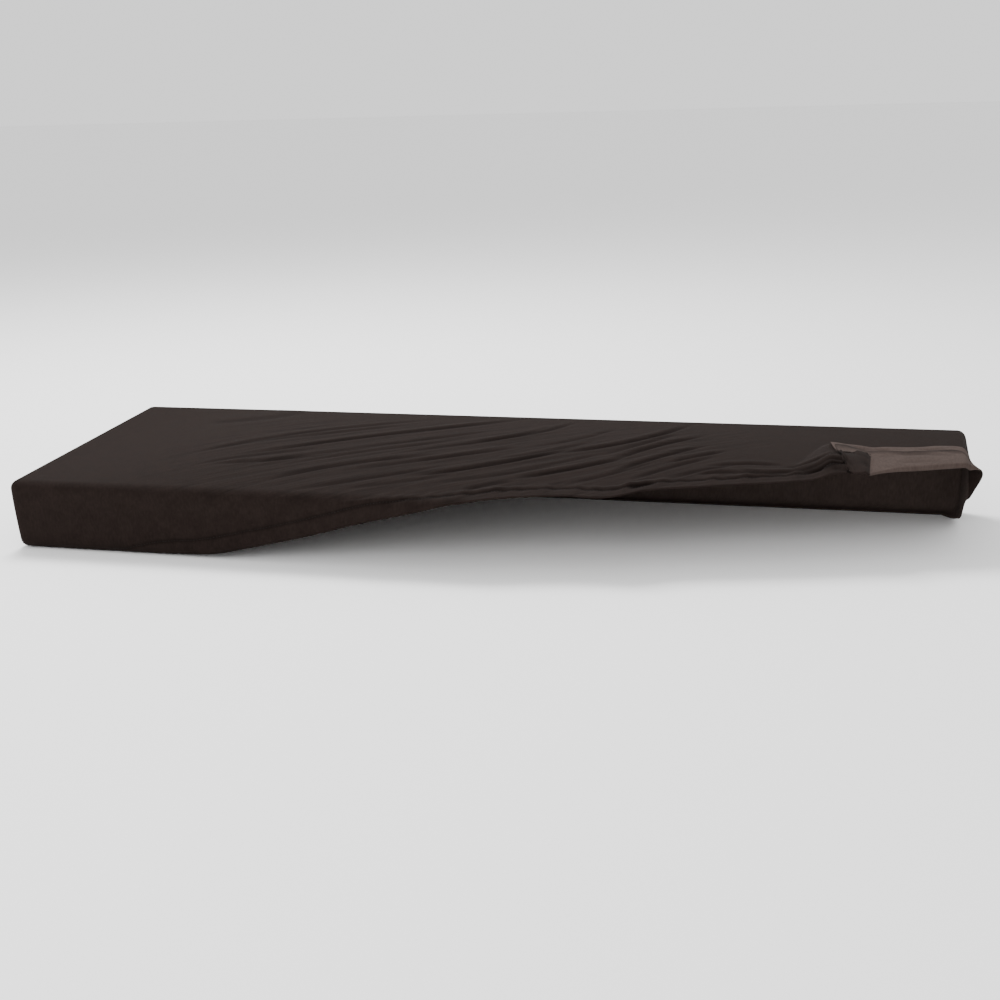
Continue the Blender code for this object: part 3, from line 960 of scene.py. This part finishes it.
def stitch_tree(material):
    """Geometry nodes that sew stitches along an edge path."""
    tree = bpy.data.node_groups.new("hem_stitches", "GeometryNodeTree")
    face = tree.interface
    face.new_socket("Geometry", in_out="OUTPUT", socket_type="NodeSocketGeometry")
    face.new_socket("Geometry", in_out="INPUT", socket_type="NodeSocketGeometry")
    for name in ("Pitch", "Length", "Width"):
        face.new_socket(name, in_out="INPUT", socket_type="NodeSocketFloat")
    into = tree.nodes.new("NodeGroupInput")
    out = tree.nodes.new("NodeGroupOutput")

    def add(kind, settings, sockets):
        node = tree.nodes.new(kind)
        for name, value in settings.items():
            setattr(node, name, value)
        for key, value in sockets.items():
            if isinstance(value, bpy.types.NodeSocket):
                tree.links.new(value, node.inputs[key])
            else:
                node.inputs[key].default_value = value
        return node.outputs

    path = add("GeometryNodeMeshToCurve", {}, {"Mesh": into.outputs["Geometry"]})
    even = add("GeometryNodeResampleCurve", {"mode": "LENGTH"}, {
        "Curve": path[0],
        "Length": into.outputs["Pitch"],
    })
    grain = add("GeometryNodeMeshIcoSphere", {}, {"Radius": GRAIN_RADIUS, "Subdivisions": 1})
    size = add("ShaderNodeCombineXYZ", {}, {
        "X": into.outputs["Length"],
        "Y": into.outputs["Width"],
        "Z": into.outputs["Width"],
    })
    tangent = add("GeometryNodeInputTangent", {}, {})
    turn = add("FunctionNodeAlignRotationToVector", {"axis": "X"}, {"Vector": tangent[0]})
    sewn = add("GeometryNodeInstanceOnPoints", {}, {
        "Points": even[0],
        "Instance": grain[0],
        "Rotation": turn[0],
        "Scale": size[0],
    })
    real = add("GeometryNodeRealizeInstances", {}, {"Geometry": sewn[0]})
    done = add("GeometryNodeSetMaterial", {}, {"Geometry": real[0], "Material": material})
    tree.links.new(done[0], out.inputs[0])
    return tree


def thread_material():
    """Dark polyester thread, a little smoother than the cloth."""
    material = bpy.data.materials.new("thread")
    finish = Finish(material)
    place = finish.node("ShaderNodeTexCoord").outputs["Object"]
    twist = finish.noise(place, TWIST_SCALE, 1.0)
    shader = finish.node("ShaderNodeBsdfPrincipled", None, {
        "Base Color": finish.blend(twist, THREAD_DARK, THREAD_LIGHT),
        "Roughness": THREAD_ROUGHNESS + twist * THREAD_ROUGHNESS_SWING,
        "Specular IOR Level": THREAD_SPECULAR,
    })
    finish.node("ShaderNodeOutputMaterial", None, {"Surface": shader.outputs[0]})
    return material


def sew_hem():
    """The stitches as a plain mesh."""
    path = hem_path()
    mesh = bpy.data.meshes.new("hem_path")
    mesh.from_pydata(path.tolist(), [(i, i + 1) for i in range(len(path) - 1)], [])
    line = bpy.data.objects.new("hem_path", mesh)
    bpy.context.scene.collection.objects.link(line)
    tree = stitch_tree(thread_material())
    sewing = line.modifiers.new("Sew", "NODES")
    sewing.node_group = tree
    sizes = {"Pitch": STITCH_PITCH, "Length": STITCH_LENGTH, "Width": STITCH_WIDTH}
    for item in tree.interface.items_tree:
        if item.in_out == "INPUT" and item.name in sizes:
            sewing[item.identifier] = sizes[item.name]
    stitches = as_plain_mesh(line, "hem_stitches")
    stitches.data.shade_smooth()
    return stitches


stitches = sew_hem()
print("Stitches:", len(stitches.data.polygons), "faces")

# %% [markdown]
# ## Fasten the pieces to the frame
#
# The cloth stands for the imported solid, which is then hidden.

for piece in (cover, stitches):
    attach(piece, "root")
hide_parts("cover")

# %% [markdown]
# ## A pale floor and soft light
#
# Nearly black cloth shows its shape only by its highlights, so the lights are large and the room is
# pale. A single lamp would leave hard black shadows. The main light comes from above and behind and
# rakes over the top, so that each crease has a dark side. A weaker one fills the front.

# %% Set the floor and the lights
FLOOR_SIZE = 60.0
FLOOR_GAP = 0.0005
FLOOR_COLOR = (0.93, 0.93, 0.93, 1.0)
FLOOR_ROUGHNESS = 0.9
ROOM_COLOR = (1.0, 1.0, 1.0, 1.0)
ROOM_LIGHT = 1.25
LIGHTS = (
    ("main", (-0.9, 0.9, 2.1), 0.9, 90.0),
    ("fill", (-0.6, -2.4, 1.0), 1.8, 48.0),
)


def lay_floor():
    """A plain pale floor, just under the hem."""
    height = min(v.co.z for v in cover.data.vertices) - FLOOR_GAP
    half = FLOOR_SIZE / 2
    square = ((-half, -half), (half, -half), (half, half), (-half, half))
    mesh = bpy.data.meshes.new("floor")
    mesh.from_pydata([(x, y, height) for x, y in square], [], [(0, 1, 2, 3)])
    floor = bpy.data.objects.new("floor", mesh)
    bpy.context.scene.collection.objects.link(floor)
    material = bpy.data.materials.new("pale_floor")
    finish = Finish(material)
    shader = finish.node("ShaderNodeBsdfPrincipled", None, {
        "Base Color": FLOOR_COLOR,
        "Roughness": FLOOR_ROUGHNESS,
    })
    finish.node("ShaderNodeOutputMaterial", None, {"Surface": shader.outputs[0]})
    mesh.materials.append(material)


def soft_light(name, place, size, power):
    """A large square light that looks at the middle of the cover's top."""
    lamp = bpy.data.lights.new(name, "AREA")
    lamp.size = size
    lamp.energy = power
    light = bpy.data.objects.new(name, lamp)
    light.location = place
    light.rotation_euler = (-Vector(place)).to_track_quat("-Z", "Y").to_euler()
    bpy.context.scene.collection.objects.link(light)


def light_room():
    """A pale, even room light."""
    world = bpy.data.worlds.new("room")
    world.use_nodes = True
    background = world.node_tree.nodes["Background"]
    background.inputs["Color"].default_value = ROOM_COLOR
    background.inputs["Strength"].default_value = ROOM_LIGHT
    bpy.context.scene.world = world


lay_floor()
light_room()
for light in LIGHTS:
    soft_light(*light)
print("Floor and lights set:", ", ".join(light[0] for light in LIGHTS))
